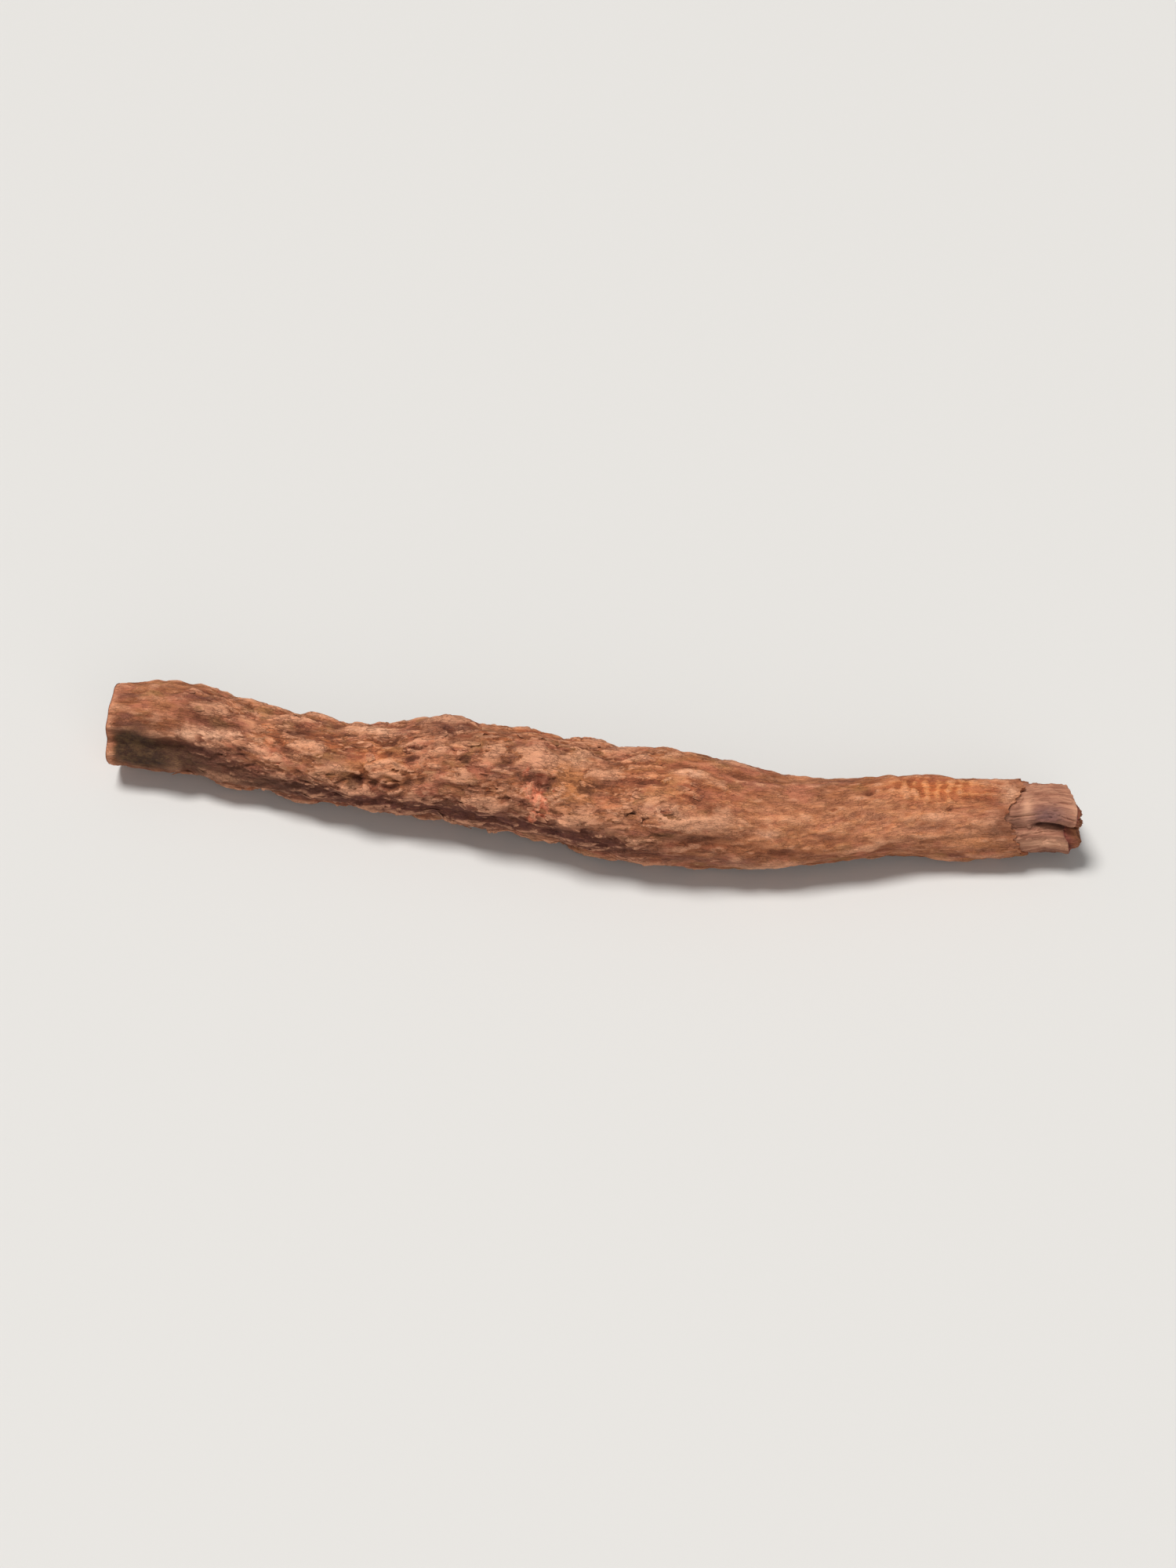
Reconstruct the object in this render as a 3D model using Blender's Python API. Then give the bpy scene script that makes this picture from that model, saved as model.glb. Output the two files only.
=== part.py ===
"""A dried manjistha root, a cut length of the kind sold by weight, lying on a table.

It grew as one piece, so it is one object. A straight rod of rings is cut from a cylinder, each point of it
is moved out to the bark or in to a cut face, and the whole is laid along the root's own crooked line.
Lengths below are millimetres. +X runs along the root to its peeled end, +Z is up, and the root lies on Z = 0.
"""

import math

import bmesh
import bpy
from mathutils import Matrix, Vector, noise

MM = 0.001

# The size of the whole root
ROOT_LENGTH = 89.4
LEFT_END = -ROOT_LENGTH / 2
RIGHT_END = ROOT_LENGTH / 2

# How finely it is cut
SIDES = 52
RING_SPACING = 0.98
FINE_RING_SPACING = 0.5
FINE_REACH = 1.2
FACE_RINGS = (0.86, 0.66, 0.44, 0.22)
SHARP_ANGLE = 50.0

# The root's line and girth: place along X, offset to the back, height of its middle, radius of the bark
STATIONS = (
    (-45.0, 2.1, 4.60, 3.75),
    (-38.0, 2.1, 4.35, 4.30),
    (-32.5, 1.6, 3.85, 4.30),
    (-27.5, 0.3, 4.30, 4.15),
    (-21.0, -0.8, 4.75, 4.15),
    (-13.0, -0.7, 5.15, 4.85),
    (-5.0, -1.4, 5.25, 5.20),
    (3.0, -2.6, 5.15, 5.40),
    (8.5, -2.7, 5.20, 5.45),
    (13.0, -2.7, 5.05, 4.90),
    (18.0, -2.7, 4.70, 4.15),
    (23.0, -1.5, 4.40, 3.80),
    (29.0, 0.6, 4.00, 3.90),
    (34.5, 1.5, 3.50, 3.80),
    (38.5, 1.9, 3.50, 3.65),
    (45.0, 2.7, 3.75, 3.30),
)

# The bark's relief. Angles are in degrees: 0 is the back, 90 the top, 180 the front and 270 the underside.
GRAIN_TWIST = 0.9
NOISE_LAYER_STEP = 10.0
PLATE_LENGTH, PLATE_WIDTH, PLATE_DEPTH = 5.4, 2.5, 0.55
PLATE_EDGE, PLATE_TOP, PLATE_LEVEL = 0.02, 0.42, 0.75
WRINKLE_LENGTH, WRINKLE_WIDTH, WRINKLE_DEPTH = 15.0, 1.9, 0.34
WRINKLE_SHARPNESS, WRINKLE_LEVEL = 3.2, 0.6
WRINKLES_LOST_TO_PLATES, WRINKLES_LOST_ON_CORE = 0.5, 0.6
LUMP_LENGTH, LUMP_WIDTH, LUMP_HEIGHT = 11.0, 5.0, 0.34

# Where the plates begin, where the knuckle wears half of them off, and where the bark is all but smooth
SCALY_FROM, SCALY_RISE = -43.0, 4.0
WORN_FROM, WORN_FADE, WORN_LOSS = 2.0, 8.0, 0.55
SMOOTH_FROM, SMOOTH_FADE, SMOOTH_LOSS = 14.0, 8.0, 0.80

# Where the bark has come away from the peeled end
BARK_EDGE = 39.3
BARK_THICKNESS = 0.38
BARK_EDGE_WANDER, BARK_EDGE_WANDER_WIDTH = 1.7, 2.2
TORN_EDGE_WIDTH = 0.5

# Knots and the scars of broken rootlets: place along X, angle, height, half-length, half-width
KNOTS = (
    (-13.6, 52.0, 1.05, 3.4, 2.2),
    (-29.0, 318.0, 0.80, 1.5, 1.3),
    (-20.0, 12.0, 0.70, 1.6, 1.3),
    (-38.6, 78.0, 0.30, 3.0, 2.4),
    (6.5, 28.0, 0.75, 1.6, 1.3),
    (13.5, 300.0, 0.80, 1.5, 1.2),
    (27.0, 350.0, 0.65, 1.3, 1.1),
    (-19.0, 168.0, 0.40, 2.2, 1.0),
)
SCAR_DEPTH, SCAR_SHARE = 0.55, 0.35

# Furrows: first and last place along X, angle at each, depth, half-width
FURROWS = (
    (-47.0, -35.5, 170.0, 163.0, 0.85, 1.05),
    (-26.0, -17.5, 148.0, 158.0, 0.45, 0.50),
    (8.5, 13.5, 112.0, 138.0, 0.45, 0.45),
    (5.0, 22.0, 160.0, 184.0, 0.42, 0.45),
    (-30.0, -12.0, 96.0, 88.0, 0.35, 0.50),
    (-36.0, -8.0, 20.0, 350.0, 0.45, 0.55),
    (16.0, 36.0, 40.0, 22.0, 0.35, 0.45),
    (39.5, 47.0, 147.0, 172.0, 0.95, 0.38),
)
FURROW_TAPER = 2.2

# Pits: place along X, angle, depth, radius
PITS = (
    (4.7, 147.5, 0.75, 0.75),
    (-3.4, 136.0, 0.60, 0.80),
    (25.7, 98.0, 0.40, 0.60),
)

# The cut faces. The peeled end has also lost its top corner.
RIM_ROUNDING = 0.30
PITH_DEPTH, PITH_SHARE = 0.80, 0.30
LEFT_SLANT, RIGHT_SLANT = 0.08, -0.12
FACE_ROUGHNESS, FACE_LUMP = 0.30, 1.4
FACE_FADE = 3.0
BROKEN_CORNER, BROKEN_CORNER_ANGLE = 1.1, 50.0
BROKEN_FROM_SHARE, BROKEN_TO_SHARE = 0.15, 1.1

# What touches the table is pressed flat, and nothing reaches below it
TABLE = 0.0

BARK_COLOUR = (0.215, 0.087, 0.042, 1.0)
BARK_ROUGHNESS = 0.85


def ease(value, start, end):
    """0 before start, 1 after end, and a smooth rise between."""
    share = min(1.0, max(0.0, (value - start) / (end - start)))
    return share * share * (3.0 - 2.0 * share)


def bell(distance):
    """1 in the middle, falling away to nothing past a distance of about 2."""
    return math.exp(-distance * distance)


def station_at(x):
    """The root's line at x, smooth from station to station: (offset to the back, height, radius)."""
    x = min(RIGHT_END, max(LEFT_END, x))
    last = len(STATIONS) - 1
    i = next(i for i in range(last) if x <= STATIONS[i + 1][0])
    before, start, end, after = (STATIONS[min(last, max(0, i + step))] for step in (-1, 0, 1, 2))
    span = end[0] - start[0]
    t = (x - start[0]) / span
    found = []
    for k in (1, 2, 3):
        leave = (end[k] - before[k]) / (end[0] - before[0]) * span
        arrive = (after[k] - start[k]) / (after[0] - start[0]) * span
        found.append(
            (2 * t**3 - 3 * t**2 + 1) * start[k]
            + (t**3 - 2 * t**2 + t) * leave
            + (3 * t**2 - 2 * t**3) * end[k]
            + (t**3 - t**2) * arrive
        )
    return found


def on_skin(x, angle, radius, length, width, layer):
    """A place on the unrolled bark for the noise to be read at: its grain runs along the root."""
    turned = angle + math.radians(GRAIN_TWIST) * x
    across, up = radius * math.cos(turned) / width, radius * math.sin(turned) / width
    return Vector((x / length + NOISE_LAYER_STEP * layer, across, up))


def arc_between(angle, other, radius):
    """The way round the bark from one angle in degrees to another in radians."""
    turn = (angle - math.radians(other) + math.pi) % (2 * math.pi) - math.pi
    return turn * radius


def scaliness(x):
    """How far the bark is broken into plates: all over the left part, and hardly at all past the knuckle."""
    begun = ease(x, SCALY_FROM, SCALY_FROM + SCALY_RISE)
    worn = WORN_LOSS * ease(x, WORN_FROM, WORN_FROM + WORN_FADE)
    smooth = SMOOTH_LOSS * ease(x, SMOOTH_FROM, SMOOTH_FROM + SMOOTH_FADE)
    return begun * (1.0 - worn) * (1.0 - smooth)


def plates(x, angle, radius):
    """Plates of cork with furrows between them."""
    distances, _ = noise.voronoi(on_skin(x, angle, radius, PLATE_LENGTH, PLATE_WIDTH, 1))
    return PLATE_DEPTH * (ease(distances[1] - distances[0], PLATE_EDGE, PLATE_TOP) - PLATE_LEVEL)


def wrinkles(x, angle, radius):
    """Lengthwise wrinkles of the dried bark, sharp at the bottom."""
    fold = abs(noise.noise(on_skin(x, angle, radius, WRINKLE_LENGTH, WRINKLE_WIDTH, 2)))
    return WRINKLE_DEPTH * (min(1.0, WRINKLE_SHARPNESS * fold) - WRINKLE_LEVEL)


def lumps(x, angle, radius):
    """The slow swelling and hollowing of the root's girth."""
    return LUMP_HEIGHT * noise.noise(on_skin(x, angle, radius, LUMP_LENGTH, LUMP_WIDTH, 3))


def knots(x, angle, radius):
    """Knots, each with the scar of its rootlet sunk in the top."""
    height = 0.0
    for place, other, rise, half_length, half_width in KNOTS:
        away = math.hypot((x - place) / half_length, arc_between(angle, other, radius) / half_width)
        height += rise * (bell(away) - SCAR_DEPTH * bell(away / SCAR_SHARE))
    return height


def furrows(x, angle, radius):
    """The few long furrows that stand out from the rest."""
    depth = 0.0
    for first, last, first_angle, last_angle, deep, half_width in FURROWS:
        share = min(1.0, max(0.0, (x - first) / (last - first)))
        middle = first_angle + share * ((last_angle - first_angle + 180) % 360 - 180)
        taper = ease(x, first, first + FURROW_TAPER) * (1.0 - ease(x, last - FURROW_TAPER, last))
        depth += deep * taper * bell(arc_between(angle, middle, radius) / half_width)
    return -depth


def pits(x, angle, radius):
    """Small holes in the bark."""
    depth = 0.0
    for place, other, deep, half_width in PITS:
        depth += deep * bell(math.hypot(x - place, arc_between(angle, other, radius)) / half_width)
    return -depth


def peeled(x, angle, radius):
    """1 on the core past the torn edge of the bark, and 0 on the bark."""
    wander = noise.noise(on_skin(0.0, angle, radius, 1.0, BARK_EDGE_WANDER_WIDTH, 4))
    edge = BARK_EDGE + BARK_EDGE_WANDER * wander
    return ease(x, edge, edge + TORN_EDGE_WIDTH)


def bark_radius(x, angle):
    """How far the surface stands from the root's line."""
    radius = station_at(x)[2]
    bare = peeled(x, angle, radius)
    scaly = scaliness(x)
    relief = sum(shape(x, angle, radius) for shape in (lumps, knots, furrows, pits))
    relief += scaly * plates(x, angle, radius)
    wrinkled = (1.0 - WRINKLES_LOST_TO_PLATES * scaly) * (1.0 - WRINKLES_LOST_ON_CORE * bare)
    relief += wrinkled * wrinkles(x, angle, radius)
    return radius + relief - BARK_THICKNESS * bare


def cut_face(side, angle, share, radius):
    """How far a point of a cut face stands out along X: slanted, rough, with the pith shrunk into it."""
    back, up = share * math.cos(angle), share * math.sin(angle)
    slant = (LEFT_SLANT if side < 0 else RIGHT_SLANT) * radius * back
    place = Vector((NOISE_LAYER_STEP * side, radius * back / FACE_LUMP, radius * up / FACE_LUMP))
    rough = FACE_ROUGHNESS * noise.noise(place)
    pith = PITH_DEPTH * bell(share / PITH_SHARE)
    corner = 0.0
    if side > 0:
        towards = share * math.cos(angle - math.radians(BROKEN_CORNER_ANGLE))
        corner = BROKEN_CORNER * ease(towards, BROKEN_FROM_SHARE, BROKEN_TO_SHARE)
    return slant + rough - corner - side * pith


def laid_down(rod_point):
    """Where a point of the straight rod of unit radius lies on the finished root, in millimetres."""
    angle = math.atan2(rod_point.z, rod_point.y)
    share = min(1.0, math.hypot(rod_point.y, rod_point.z))
    side = math.copysign(1.0, rod_point.x)
    from_end = max(0.0, ROOT_LENGTH / 2 - abs(rod_point.x))
    across, height, _ = station_at(rod_point.x)
    radius = bark_radius(rod_point.x, angle)
    rounding = RIM_ROUNDING * (1.0 - ease(from_end, 0.0, 2 * RIM_ROUNDING))
    reach = share * (radius - rounding)
    near_end = 1.0 - ease(from_end, 0.0, FACE_FADE)
    along = rod_point.x + near_end * cut_face(side, angle, share, radius)
    return Vector((along, across + reach * math.cos(angle), max(TABLE, height + reach * math.sin(angle))))


def ring_places():
    """Where the rod is cut into rings: closer together at the ends and at the torn edge of the bark."""
    places = []
    x = LEFT_END
    while x < RIGHT_END - FINE_RING_SPACING:
        fine = min(abs(x - LEFT_END), abs(x - BARK_EDGE), abs(x - RIGHT_END)) < FINE_REACH
        x += FINE_RING_SPACING if fine else RING_SPACING
        places.append(x)
    return places[:-1]


def ringed_rod():
    """A straight closed rod of unit radius along X, cut into rings, with rings on its two flat ends."""
    rod = bmesh.new()
    lie_along_x = Matrix.Rotation(math.radians(90), 4, "Y")
    bmesh.ops.create_cone(
        rod, cap_ends=True, segments=SIDES, radius1=1, radius2=1, depth=ROOT_LENGTH, matrix=lie_along_x
    )
    for place in ring_places():
        everything = rod.verts[:] + rod.edges[:] + rod.faces[:]
        bmesh.ops.bisect_plane(rod, geom=everything, plane_co=(place, 0, 0), plane_no=(1, 0, 0))
    ends = [face for face in rod.faces if len(face.verts) == SIDES]
    for end in ends:
        previous = 1.0
        for share in FACE_RINGS:
            bmesh.ops.inset_region(rod, faces=[end], thickness=previous - share, use_even_offset=False)
            previous = share
    bmesh.ops.poke(rod, faces=ends)
    return rod


def manjistha_root(collection):
    """The finished root as one object, its box centred over the origin."""
    rod = ringed_rod()
    for vert in rod.verts:
        vert.co = laid_down(vert.co)
    for axis in (0, 1):
        reach = [vert.co[axis] for vert in rod.verts]
        middle = (min(reach) + max(reach)) / 2
        for vert in rod.verts:
            vert.co[axis] -= middle
    bmesh.ops.scale(rod, vec=(MM, MM, MM), verts=rod.verts)
    bmesh.ops.triangulate(rod, faces=rod.faces)
    bmesh.ops.recalc_face_normals(rod, faces=rod.faces)
    mesh = bpy.data.meshes.new("manjistha_root")
    rod.to_mesh(mesh)
    rod.free()
    mesh.shade_smooth()
    mesh.set_sharp_from_angle(angle=math.radians(SHARP_ANGLE))
    root = bpy.data.objects.new("manjistha_root", mesh)
    collection.objects.link(root)
    return root


def bark_material():
    """Dry red-brown bark."""
    material = bpy.data.materials.new("dried_bark")
    material.use_nodes = True
    shader = material.node_tree.nodes["Principled BSDF"]
    shader.inputs["Base Color"].default_value = BARK_COLOUR
    shader.inputs["Roughness"].default_value = BARK_ROUGHNESS
    shader.inputs["Metallic"].default_value = 0.0
    return material


def main():
    for old in list(bpy.data.objects):
        bpy.data.objects.remove(old)
    collection = bpy.data.collections.new("manjistha root")
    bpy.context.scene.collection.children.link(collection)
    root = manjistha_root(collection)
    root.data.materials.append(bark_material())


main()
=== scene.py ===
import math

import bmesh
import bpy
import numpy as np
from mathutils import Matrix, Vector, noise
from mathutils.bvhtree import BVHTree


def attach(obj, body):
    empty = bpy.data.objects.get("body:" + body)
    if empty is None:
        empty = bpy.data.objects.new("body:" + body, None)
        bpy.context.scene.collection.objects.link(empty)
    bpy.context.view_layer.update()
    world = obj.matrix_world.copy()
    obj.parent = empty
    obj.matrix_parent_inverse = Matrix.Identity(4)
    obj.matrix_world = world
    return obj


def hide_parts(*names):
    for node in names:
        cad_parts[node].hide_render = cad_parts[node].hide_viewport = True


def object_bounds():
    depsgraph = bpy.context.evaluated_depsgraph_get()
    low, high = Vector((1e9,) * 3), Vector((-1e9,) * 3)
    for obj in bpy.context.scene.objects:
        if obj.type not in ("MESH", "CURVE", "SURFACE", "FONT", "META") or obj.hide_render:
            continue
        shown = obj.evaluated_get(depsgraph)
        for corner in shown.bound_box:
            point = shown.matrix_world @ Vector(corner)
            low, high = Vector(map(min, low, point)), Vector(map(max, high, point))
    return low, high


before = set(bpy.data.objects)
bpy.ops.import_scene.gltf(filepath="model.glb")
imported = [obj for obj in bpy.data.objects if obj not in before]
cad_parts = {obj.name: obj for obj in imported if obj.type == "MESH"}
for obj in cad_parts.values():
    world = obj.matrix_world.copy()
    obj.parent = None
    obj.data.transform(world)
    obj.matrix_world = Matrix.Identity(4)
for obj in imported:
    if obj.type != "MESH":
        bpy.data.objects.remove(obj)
cad_low, cad_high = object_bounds()

# The bark
# It is the corky skin of the dried root, cracked into plates over its left half and worn smoother past the
# knuckle. It was cut through with the wood at the left end, and has torn away short of the right end.
# Lengths are in millimetres until a piece's points are written, and angles run from the back over the top.

MM = 0.001
TURN = 2 * math.pi

BARK_SIDES = 224
BARK_CUTS = (19, 20)
BARK_FACE_RINGS = (0.985, 0.97, 0.955, 0.94, 0.925, 0.91, 0.895, 0.88, 0.865, 0.85, 0.8, 0.7)
CUT_BARK_INNER = 0.875
CUT_BARK_RECESS = 0.9

# Where it tears off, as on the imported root, with a finer ragged edge that lifts a little off the wood.
# The form is read a little to either side of that edge, so that its step isn't in the bark or the wood.
BARK_EDGE = 39.3
BARK_EDGE_WANDER, BARK_EDGE_WANDER_WIDTH = 1.7, 2.2
RAGGED_EDGE, RAGGED_WIDTH = 0.50, 0.80
BARK_THICKNESS = 0.30
EDGE_LIFT, EDGE_LIFT_LENGTH = 0.06, 1.6
BEFORE_EDGE, PAST_EDGE = 0.7, 1.3

# How the torn end turns in, in shares of its radius: where its lip ends and its plug starts, how wide the
# lip and the slope behind it are, and where it starts to go back. The plug's two depths are in millimetres.
LIP_SHARE, PLUG_SHARE = 0.88, 0.7
LIP_WIDTH, SLOPE_WIDTH = 0.12, 0.18
BACK_FROM, BACK_WIDTH = 0.9, 0.2
PLUG_DEPTH, UNDER_THE_EDGE = 0.3, 0.9

# How the cut edge at the left is rounded, and how a band along its rim is paler
ROUNDING, ROUNDING_LENGTH = 0.12, 0.25
RELIEF_AT_CUT, RELIEF_RISE = 0.4, 0.5
RIM_WANDER = 0.35
RIM_FROM, RIM_FADE = 0.2, 0.5
# How far past the cut rim the painted shade starts, and over how much it comes in full
PAINTED_SHADE_FROM, PAINTED_SHADE_RISE = 0.45, 0.4

GRAIN_TWIST = 0.9
LAYER_STEP = 10.0


def ease(value, start, end):
    """0 before start, 1 after end, and a smooth rise between."""
    share = min(1.0, max(0.0, (value - start) / (end - start)))
    return share * share * (3.0 - 2.0 * share)


def bell(distance):
    """1 in the middle, falling away to nothing past a distance of about 2."""
    return math.exp(-distance * distance)


def on_skin(x, angle, radius, length, width, layer):
    """A place on the unrolled bark for a pattern to be read at: its grain runs along the root."""
    turned = angle + math.radians(GRAIN_TWIST) * x
    across, up = radius * math.cos(turned) / width, radius * math.sin(turned) / width
    return Vector((x / length + LAYER_STEP * layer, across, up))


def arc_between(angle, other, radius):
    """The way round the bark from one angle in degrees to another in radians."""
    return ((angle - math.radians(other) + math.pi) % TURN - math.pi) * radius


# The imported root's own line and girth are read from it, so that every piece keeps its form
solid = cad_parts["manjistha_root"].data
solid_points = np.array([vert.co for vert in solid.vertices]) / MM
solid_skin = BVHTree.FromPolygons(
    [Vector(point) for point in solid_points], [tuple(face.vertices) for face in solid.polygons]
)
LEFT_END, RIGHT_END = cad_low.x / MM, cad_high.x / MM
LINE_STEP, LINE_WINDOW = 1.0, 1.2
line_places = np.arange(LEFT_END, RIGHT_END + LINE_STEP, LINE_STEP)
line_points = []
for place in line_places:
    near = np.abs(solid_points[:, 0] - place) < LINE_WINDOW
    line_points.append(solid_points[near, 1:].mean(axis=0))
line_points = np.array(line_points)
LINE_SMOOTHING = np.array((1.0, 2.0, 3.0, 4.0, 3.0, 2.0, 1.0)) / 16.0
line_padded = np.pad(line_points, ((3, 3), (0, 0)), "edge")
line_back = np.convolve(line_padded[:, 0], LINE_SMOOTHING, "valid")
line_height = np.convolve(line_padded[:, 1], LINE_SMOOTHING, "valid")

FORM_STEP = 0.2
FORM_FROM_LEFT, FORM_FROM_RIGHT = 2.0, 3.2
FORM_PLACES = np.arange(LEFT_END + FORM_FROM_LEFT, RIGHT_END - FORM_FROM_RIGHT, FORM_STEP)
FORM_ANGLES = TURN * np.arange(BARK_SIDES) / BARK_SIDES
MEAN_RADIUS = 4.4
FACETS_ALONG = FACETS_ROUND = 0.28
BROAD_ALONG, BROAD_ROUND = 1.5, 1.3
DEEPER = 0.12


def line_at(x):
    """The middle of the root at x: how far back it is, and how high."""
    return np.interp(x, line_places, line_back), np.interp(x, line_places, line_height)


def reach_of(start, way):
    """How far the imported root's surface is from a point inside it."""
    hit = solid_skin.ray_cast(start, way)[0]
    return (hit - start).length


def blurred(grid, rows, columns):
    """A grid blurred by a bell of that many rows and columns. Its columns go once round the root."""
    reach = int(3 * rows) + 1
    weights = np.exp(-0.5 * (np.arange(-reach, reach + 1) / rows) ** 2)
    padded = np.pad(grid, ((reach, reach), (0, 0)), "edge")
    grid = sum(w * padded[k : k + len(grid)] for k, w in enumerate(weights)) / weights.sum()
    reach = int(3 * columns) + 1
    weights = np.exp(-0.5 * (np.arange(-reach, reach + 1) / columns) ** 2)
    rolled = (w * np.roll(grid, k - reach, axis=1) for k, w in enumerate(weights))
    return sum(rolled) / weights.sum()


def read_grid(grid, row, angle):
    """A grid's value between its rows and columns, by straight lines."""
    row = np.clip(row, 0, len(grid) - 1.001)
    column = (angle % TURN) / TURN * grid.shape[1]
    low_row, low_column = row.astype(int), column.astype(int) % grid.shape[1]
    up, along = row - low_row, column - np.floor(column)
    next_column = (low_column + 1) % grid.shape[1]
    low = (1 - along) * grid[low_row, low_column] + along * grid[low_row, next_column]
    high = (1 - along) * grid[low_row + 1, low_column] + along * grid[low_row + 1, next_column]
    return (1 - up) * low + up * high


form = np.zeros((len(FORM_PLACES), BARK_SIDES))
for row, place in enumerate(FORM_PLACES):
    back, height = line_at(place)
    for column, angle in enumerate(FORM_ANGLES):
        outwards = Vector((0, math.cos(angle), math.sin(angle)))
        form[row, column] = reach_of(Vector((place, back, height)), outwards)
ARC_STEP = TURN * MEAN_RADIUS / BARK_SIDES
smooth_form = blurred(form, FACETS_ALONG / FORM_STEP, FACETS_ROUND / ARC_STEP)
broad_form = blurred(form, BROAD_ALONG / FORM_STEP, BROAD_ROUND / ARC_STEP)


def form_at(x, angle):
    """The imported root's radius, with its facets smoothed away and its furrows a little deeper."""
    row = (x - FORM_PLACES[0]) / FORM_STEP
    smooth, broad = read_grid(smooth_form, row, angle), read_grid(broad_form, row, angle)
    return smooth + DEEPER * (smooth - broad)


def cad_edge(angle, radius):
    """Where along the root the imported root's bark ends."""
    place = on_skin(0.0, angle, radius, 1.0, BARK_EDGE_WANDER_WIDTH, 4)
    return BARK_EDGE + BARK_EDGE_WANDER * noise.noise(place)


def torn_edge(angle, radius):
    """Where along the root the bark ends, ragged."""
    place = on_skin(0.0, angle, radius, 1.0, RAGGED_WIDTH, 5)
    return cad_edge(angle, radius) + RAGGED_EDGE * noise.fractal(place, 0.8, 2.0, 3)


# Unseeded, noise_vector draws on the clock, and the flakes would fall differently in each run
WARP_SEED = 3
noise.seed_set(WARP_SEED)

# The relief of the bark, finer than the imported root's
FLAKES = ((2.3, 0.85, 1, 0.9), (1.5, 0.62, 16, 0.85), (3.4, 1.4, 18, 0.65))
FLAKE_UNEVEN, FLAKE_TILT, FLAKE_WARP = 0.28, 0.70, 0.42
FLAKE_EDGE, FLAKE_ROUNDING, FLAKE_LEVEL = 0.28, 0.12, 0.17
STRIAE = ((12.0, 1.4, 0.15), (6.0, 0.7, 0.05), (4.0, 0.34, 0.035))
STRIA_SHARPNESS = 2.0
STRIAE_ON_SMOOTH, STRIAE_ON_SCALY = 0.65, 0.55
CRACK_LENGTH, CRACK_WIDTH, CRACK_DEPTH = 1.3, 5.0, 0.05
GRIT_LENGTH, GRIT_WIDTH, GRIT_HEIGHT = 1.3, 0.55, 0.06
LUMP_SIZE, LUMP_HEIGHT = 2.4, 0.20
BLISTER_LENGTH, BLISTER_WIDTH, BLISTER_HEIGHT = 1.7, 1.1, 0.19
SCALY_FROM, SCALY_TO, SMOOTH_FROM, SMOOTH_TO = -40.0, -33.0, 1.0, 17.0
SMOOTH_SHARE = 0.18
PIT_SPACING, PIT_RADIUS, PIT_DEPTH = 3.1, 0.085, 0.16

# Pits: place along X, angle, depth, radius
PITS = (
    (4.7, 147.5, 0.50, 0.45),
    (-3.4, 136.0, 0.42, 0.45),
    (25.7, 98.0, 0.30, 0.30),
    (33.0, 127.0, 0.28, 0.30),
)

# The scrape: place along X, angle, half-length, half-width round the root, depth.
# Its edge is ragged, and its floor is made of torn crumbs.
SCRAPE = (-4.0, 143.0, 1.1, 2.5, 0.12)
SCRAPE_RAGGED, SCRAPE_CRUMB, SCRAPE_LENGTH, SCRAPE_WIDTH = 0.9, 0.60, 0.50, 1.0

# The ripples: place along X, angle, half-length, half-width round the root, how far apart, height
RIPPLES = (31.2, 92.0, 4.6, 2.1, 1.05, 0.06)

# Two curls of bark: place along X, angle, radius, height, and how far apart their folds are
CURLS = ((-21.2, 162.0, 1.4, 0.22, 1.0), (-17.9, 157.0, 1.8, 0.20, 1.05))


def scaliness(x):
    """How far the bark is cracked into plates: over the left half, and little past the knuckle."""
    return ease(x, SCALY_FROM, SCALY_TO) * (1.0 - (1.0 - SMOOTH_SHARE) * ease(x, SMOOTH_FROM, SMOOTH_TO))


def flake(x, angle, radius, length, width, layer, strength):
    """One layer of flakes of cork: how far they stand out, and each flake's own shade from 0 to 1."""
    place = on_skin(x, angle, radius, length, width, layer)
    fine_warp = noise.noise_vector(1.3 * place)
    place += FLAKE_WARP * fine_warp + 0.4 * FLAKE_WARP * noise.noise_vector(3.7 * place)
    distances, points = noise.voronoi(place)
    shade = 0.5 + 0.5 * noise.cell(7.3 * points[0])
    tilt = (place - points[0]).dot(noise.noise_vector(11.7 * points[0]))
    edge = FLAKE_ROUNDING * (1.0 - ease(distances[1] - distances[0], 0.0, FLAKE_EDGE))
    return strength * (FLAKE_UNEVEN * (shade - 0.5) + FLAKE_TILT * tilt) - edge, shade


def cork(x, angle, radius):
    """Flakes of cork lying over each other: whichever layer stands higher is the one that shows."""
    height, shade = max(flake(x, angle, radius, *layer) for layer in FLAKES)
    return height - FLAKE_LEVEL, shade


def striae(x, angle, radius):
    """Lengthwise wrinkles, coarse and fine, sharp at the bottom."""
    rise = 0.0
    for layer, (length, width, depth) in enumerate(STRIAE):
        fold = abs(noise.noise(on_skin(x, angle, radius, length, width, 26 + layer)))
        rise += depth * (min(1.0, STRIA_SHARPNESS * fold) - 0.75)
    return rise


def blisters(x, angle, radius):
    """Low swellings that run slantwise over the smoother bark."""
    place = on_skin(x, angle, radius, BLISTER_LENGTH, BLISTER_WIDTH, 19)
    place.x += 0.5 * (place.y + place.z)
    return BLISTER_HEIGHT * noise.fractal(place, 0.9, 2.0, 2)


def cracks(x, angle, radius):
    """Short cracks across the grain."""
    place = on_skin(x, angle, radius, CRACK_LENGTH, CRACK_WIDTH, 8)
    place += 0.2 * noise.noise_vector(3.0 * place)
    distances, _ = noise.voronoi(place)
    patchy = ease(noise.noise(on_skin(x, angle, radius, 4.0, 2.0, 9)), 0.0, 0.25)
    return -CRACK_DEPTH * patchy * (1.0 - ease(distances[1] - distances[0], 0.0, 0.12))


def grit(x, angle, radius):
    """Crumbs and grains of the dry cork."""
    return GRIT_HEIGHT * noise.fractal(on_skin(x, angle, radius, GRIT_LENGTH, GRIT_WIDTH, 10), 0.55, 2.1, 4)


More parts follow.
